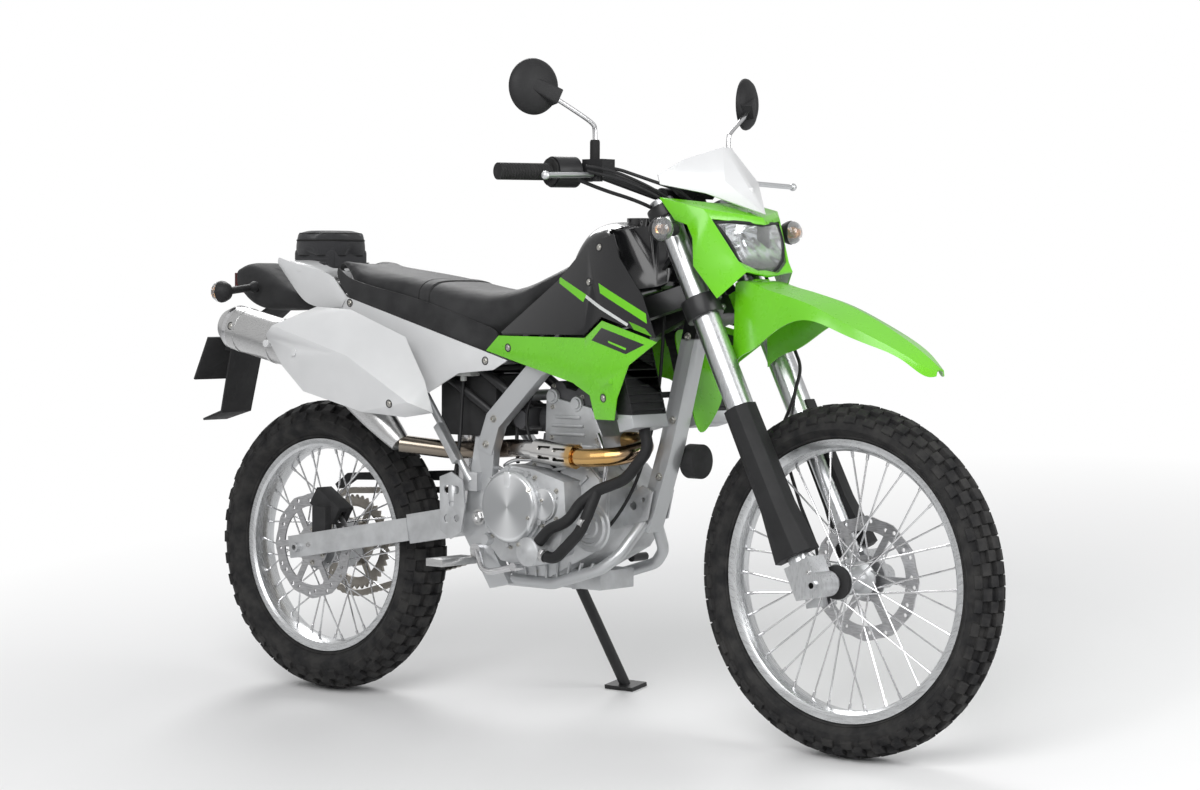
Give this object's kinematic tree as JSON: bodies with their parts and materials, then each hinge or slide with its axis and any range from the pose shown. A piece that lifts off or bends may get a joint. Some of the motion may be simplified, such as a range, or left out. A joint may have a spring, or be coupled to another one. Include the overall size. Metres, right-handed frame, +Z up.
{
  "type": "dual sport motorcycle",
  "caption": "Dual sport motorcycle with spoked wheels, inverted fork, petal discs, liquid cooled single engine, long flat seat, white and lime green covers, leaning on its side stand.",
  "frame": {"origin": "middle of the outline on the ground, under the machine as it leans on its side stand", "axes": "+X forward along the machine, +Y to its left, +Z up"},
  "size_m": [2.1744, 0.8415, 1.4142],
  "materials": {
    "tyre_rubber": "matte black block tread",
    "rim_alloy": "satin silver",
    "disc_steel": "brushed",
    "fork_silver": "satin silver",
    "black_metal": "satin black",
    "grip_rubber": "matte",
    "black_plastic": "matte black",
    "green_plastic": "gloss lime green",
    "white_plastic": "gloss white",
    "tank_black": "gloss black",
    "lamp_clear": "clear",
    "lamp_red": "clear red",
    "seat_vinyl": "matte black vinyl",
    "bag_fabric": "black woven nylon",
    "frame_grey": "satin grey",
    "rail_black": "satin black",
    "arm_alloy": "satin grey",
    "engine_alloy": "cast satin grey",
    "steel_bright": "brushed stainless steel",
    "pipe_chrome": "heat tinted chrome",
    "radiator_black": "black painted core",
    "spring_steel": "satin"
  },
  "bodies": {
    "chassis": {"frame": "frame_grey", "subframe": "rail_black", "swingarm": "arm_alloy", "engine_cases": "engine_alloy", "engine_top": "engine_alloy", "head_cover": "engine_alloy", "exhaust_pipe": "pipe_chrome", "muffler": "steel_bright", "muffler_cover": "white_plastic", "radiators": "radiator_black", "horn": "black_plastic", "coolant_hoses": "grip_rubber", "seat": "seat_vinyl", "fuel_tank": "tank_black", "lower_shrouds": "green_plastic", "upper_shrouds": "black_plastic", "side_covers": "white_plastic", "tail_fairing": "white_plastic", "rear_fender": "black_plastic", "plate_holder": "black_plastic", "tail_lamp": "lamp_red", "rear_indicators": "black_plastic", "tool_bag": "bag_fabric", "airbox": "black_plastic", "shock": "spring_steel", "chain": "disc_steel", "chain_guards": "black_plastic", "rear_caliper": "engine_alloy", "footpegs": "black_metal", "passenger_hangers": "rail_black", "shift_lever": "black_metal", "brake_pedal": "black_metal"},
    "steering": {"fork_tubes": "fork_silver", "triple_clamps": "black_metal", "fork_legs": "fork_silver", "fork_guards": "black_plastic", "handlebar": "black_metal", "grips": "grip_rubber", "controls": "black_metal", "mirrors": "black_metal", "instrument": "black_plastic", "brake_hose": "grip_rubber", "front_fender": "green_plastic", "headlamp_mask": "green_plastic", "headlamp": "lamp_clear", "windscreen": "white_plastic", "front_caliper": "engine_alloy", "front_indicators": "black_plastic"},
    "front_wheel": {"front_tyre": "tyre_rubber", "front_rim": "rim_alloy", "front_hub": "rim_alloy", "front_disc": "disc_steel"},
    "rear_wheel": {"rear_tyre": "tyre_rubber", "rear_rim": "rim_alloy", "rear_hub": "rim_alloy", "rear_disc": "disc_steel", "rear_sprocket": "disc_steel"},
    "side_stand": {"side_stand": "rail_black"}
  },
  "joints": [
    {"name": "steering_turn", "type": "hinge", "parent": "chassis", "child": "steering", "pos_m": [0.6849, -0.13698, 0.31996], "axis": [-0.4462, 0.14, 0.8839], "range_deg": [-44, 44]},
    {"name": "front_wheel_spin", "type": "hinge", "parent": "steering", "child": "front_wheel", "pos_m": [0.73976, -0.1327, 0.34698], "axis": [0, 0.9877, -0.1564], "continuous": true},
    {"name": "rear_wheel_spin", "type": "hinge", "parent": "chassis", "child": "rear_wheel", "pos_m": [-0.69024, -0.13583, 0.32722], "axis": [0, 0.9877, -0.1564], "continuous": true},
    {"name": "side_stand_fold", "type": "hinge", "parent": "chassis", "child": "side_stand", "pos_m": [-0.09024, -0.01441, 0.27559], "axis": [0, 0.9877, -0.1564], "range_deg": [0, 100]}
  ]
}
